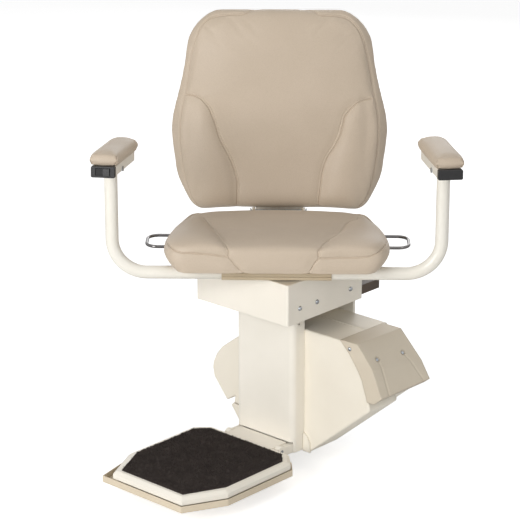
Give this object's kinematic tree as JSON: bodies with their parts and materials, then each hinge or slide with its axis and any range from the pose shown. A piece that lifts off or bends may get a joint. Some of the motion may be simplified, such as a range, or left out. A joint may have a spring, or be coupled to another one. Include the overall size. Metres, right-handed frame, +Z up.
{
  "type": "stairlift chair",
  "caption": "Powered stairlift chair: padded seat and back on a swivel column, flip-up armrests, folding footrest and a rail carriage with covers, rollers and drive pinion.",
  "frame": {"origin": "on the centreline of the stair rail, midway between the guide rollers", "axes": "+Z up, +Y towards the wall, +X horizontally up the stairs; the rail rises 40 degrees towards +X"},
  "size_m": [0.6955, 0.6882, 0.8478],
  "materials": {
    "upholstery": "fine grained beige vinyl",
    "cream_paint": "satin cream powder coat",
    "cover_plastic": "satin moulded cream plastic",
    "end_plastic": "satin moulded beige plastic",
    "bracket_paint": "satin beige paint",
    "tube_paint": "satin warm white powder coat",
    "dark_steel": "black painted steel",
    "zinc": "bright zinc plate",
    "chrome": "bright chrome",
    "mat": "coarse dark ribbed carpet",
    "black_plastic": "black moulded plastic",
    "pan_plastic": "satin beige plastic",
    "plywood": "birch plywood",
    "battery": "dark case",
    "board": "green circuit board",
    "nylon": "natural nylon",
    "cast": "cast housing"
  },
  "bodies": {
    "carriage": {"chassis_plate": "cream_paint", "seat_post": "dark_steel", "swivel_frame": "dark_steel", "swivel_housing": "cream_paint", "housing_bolts": "zinc", "thrust_ring": "nylon", "rear_channels": "dark_steel", "column_cover": "cream_paint", "main_cover": "cover_plastic", "rear_cover": "cover_plastic", "upper_end_cover": "end_plastic", "lower_end_cover": "cover_plastic", "lower_skirt": "cover_plastic", "column_foot": "cover_plastic", "cover_screws": "zinc", "drive_motor": "dark_steel", "gearbox": "cast", "batteries": "battery", "battery_tray": "dark_steel", "control_board": "board", "roller_axles": "zinc", "footrest_bracket": "cream_paint", "footrest_pin": "zinc"},
    "roller_1": {"guide_roller_1": "nylon"},
    "roller_2": {"guide_roller_2": "nylon"},
    "roller_3": {"guide_roller_3": "nylon"},
    "roller_4": {"guide_roller_4": "nylon"},
    "pinion": {"drive_pinion": "zinc"},
    "seat": {"turntable": "dark_steel", "spindle": "zinc", "seat_bracket": "bracket_paint", "arm_receiver": "bracket_paint", "back_plate": "tube_paint", "back_board": "plywood", "back_cushion": "upholstery", "back_bolts": "zinc", "seat_hinge_pin": "zinc"},
    "seat_fold": {"seat_board": "plywood", "seat_cushion": "upholstery", "seat_hinge_arms": "tube_paint", "board_screws": "zinc"},
    "arm_left": {"arm_tube_left": "tube_paint", "armrest_pin_left": "zinc"},
    "arm_right": {"arm_tube_right": "tube_paint", "armrest_pin_right": "zinc"},
    "armrest_left": {"armrest_carrier_left": "tube_paint", "armrest_cap_left": "black_plastic", "armrest_pad_left": "upholstery"},
    "armrest_right": {"armrest_carrier_right": "tube_paint", "armrest_cap_right": "black_plastic", "armrest_pad_right": "upholstery"},
    "rocker": {"rocker_switch": "black_plastic"},
    "lever_left": {"swivel_lever_left": "chrome"},
    "lever_right": {"swivel_lever_right": "chrome"},
    "latch": {"latch_pin": "zinc"},
    "footrest": {"footrest_platform": "cream_paint", "footrest_mat": "mat", "pan_springs": "zinc"},
    "pan": {"footrest_pan": "pan_plastic"}
  },
  "joints": [
    {"name": "swivel", "type": "hinge", "parent": "carriage", "child": "seat", "pos_m": [-0.005, -0.157, 0.284], "axis": [0, 0, 1], "range_deg": [-40, 50]},
    {"name": "seat_fold", "type": "hinge", "parent": "seat", "child": "seat_fold", "pos_m": [-0.12225, -0.02307, 0.322], "axis": [-0.7524, -0.6587, 0], "range_deg": [0, 60]},
    {"name": "arm_left_slide", "type": "slide", "parent": "seat", "child": "arm_left", "axis": [0.7524, 0.6587, 0], "range_m": [-0.04, 0.01]},
    {"name": "arm_right_slide", "type": "slide", "parent": "seat", "child": "arm_right", "axis": [-0.7524, -0.6587, 0], "range_m": [-0.04, 0.01]},
    {"name": "armrest_left_flip", "type": "hinge", "parent": "arm_left", "child": "armrest_left", "pos_m": [0.31237, -0.05194, 0.5015], "axis": [0.6639, 0.7478, 0], "range_deg": [0, 70]},
    {"name": "armrest_right_flip", "type": "hinge", "parent": "arm_right", "child": "armrest_right", "pos_m": [-0.15111, -0.45769, 0.5015], "axis": [0.829, 0.5592, 0], "range_deg": [0, 67]},
    {"name": "rocker", "type": "hinge", "parent": "armrest_right", "child": "rocker", "pos_m": [-0.11636, -0.50921, 0.51261], "axis": [-0.0633, 0.0938, 0.9936], "range_deg": [-8, 8], "stiffness_Nm_per_rad": 0.04},
    {"name": "swivel_lever_left", "type": "hinge", "parent": "seat", "child": "lever_left", "pos_m": [-0.01269, -0.05409, 0.2896], "axis": [-0.6587, 0.7524, 0], "range_deg": [0, 3.5], "stiffness_Nm_per_rad": 3, "springref_deg": -8.59},
    {"name": "swivel_lever_right", "type": "hinge", "parent": "seat", "child": "lever_right", "pos_m": [-0.10599, -0.13576, 0.2896], "axis": [0.6587, -0.7524, 0], "range_deg": [0, 3.5], "stiffness_Nm_per_rad": 3, "springref_deg": -8.59},
    {"name": "latch_lift", "type": "slide", "parent": "seat", "child": "latch", "axis": [0, 0, 1], "range_m": [0, 0.0036]},
    {"name": "footrest_fold", "type": "hinge", "parent": "carriage", "child": "footrest", "pos_m": [0, -0.228, -0.08], "axis": [-1, 0, 0], "range_deg": [0, 78]},
    {"name": "pan_float", "type": "slide", "parent": "footrest", "child": "pan", "axis": [0, 0, 1], "range_m": [0, 0.004], "stiffness_N_per_m": 400, "springref_m": -0.01, "deforming": ["pan_springs"]},
    {"name": "roller_1_spin", "type": "hinge", "parent": "carriage", "child": "roller_1", "pos_m": [-0.04446, 0, -0.10258], "axis": [0, 1, 0], "continuous": true},
    {"name": "roller_2_spin", "type": "hinge", "parent": "carriage", "child": "roller_2", "pos_m": [-0.10874, 0, -0.02598], "axis": [0, 1, 0], "continuous": true},
    {"name": "roller_3_spin", "type": "hinge", "parent": "carriage", "child": "roller_3", "pos_m": [0.10874, 0, 0.02598], "axis": [0, 1, 0], "continuous": true},
    {"name": "roller_4_spin", "type": "hinge", "parent": "carriage", "child": "roller_4", "pos_m": [0.04446, 0, 0.10258], "axis": [0, 1, 0], "continuous": true},
    {"name": "pinion_spin", "type": "hinge", "parent": "carriage", "child": "pinion", "pos_m": [0.0405, 0, -0.04826], "axis": [0, 1, 0], "continuous": true}
  ],
  "couplings": [
    {"joint": "latch_lift", "follows": "swivel_lever_left", "m_per_rad": 0.056},
    {"joint": "swivel_lever_right", "follows": "swivel_lever_left", "ratio": 1}
  ]
}
